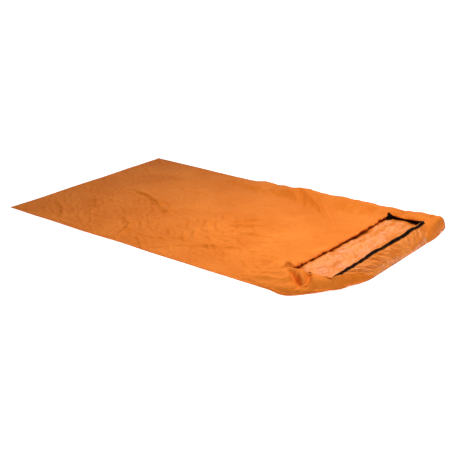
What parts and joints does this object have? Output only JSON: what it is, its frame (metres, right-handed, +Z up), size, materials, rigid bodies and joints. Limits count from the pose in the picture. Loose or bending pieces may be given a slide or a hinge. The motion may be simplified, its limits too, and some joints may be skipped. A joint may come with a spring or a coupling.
{
  "type": "bivy sack",
  "caption": "Flat orange emergency bivy sack for two, laid out with its mouth open: a coated sack with a rolled head collar and black closure tape round the rim.",
  "frame": {"origin": "middle of the laid sack's bounding box, on the ground", "axes": "+X along the length from the foot seam to the head, +Y across the width, +Z up from the ground"},
  "size_m": [2.112, 1.25, 0.0739],
  "materials": {
    "outer_fabric": "coated ripstop nylon, satin outside and glossy inside",
    "seam_allowance": "sewn and folded coated nylon",
    "hem": "turned and stitched edge, coated side out",
    "closure_tape": "black hook-and-loop tape"
  },
  "bodies": {
    "sack": {"bottom_sheet": "outer_fabric", "top_sheet": "outer_fabric", "near_side_seam": "seam_allowance", "far_side_seam": "seam_allowance", "foot_seam": "seam_allowance", "near_collar": "outer_fabric", "near_corner_gusset": "outer_fabric", "far_collar": "outer_fabric", "far_corner_gusset": "outer_fabric", "loop_tape_near": "closure_tape", "loop_tape_far": "closure_tape"},
    "top_rim": {"top_rim_panel": "outer_fabric", "top_rim_hem": "hem", "hook_tape_top": "closure_tape"},
    "head_collar": {"head_flap": "outer_fabric", "head_rim_hem": "hem", "loop_tape_head": "closure_tape"}
  },
  "joints": [
    {"name": "top_rim_lift", "type": "hinge", "parent": "sack", "child": "top_rim", "pos_m": [0.606, 0, 0.013], "axis": [0, -1, 0], "range_deg": [0, 60]},
    {"name": "head_flap_fold", "type": "hinge", "parent": "sack", "child": "head_collar", "pos_m": [1.055, 0, 0.003], "axis": [0, 1, 0], "range_deg": [0, 95]}
  ]
}
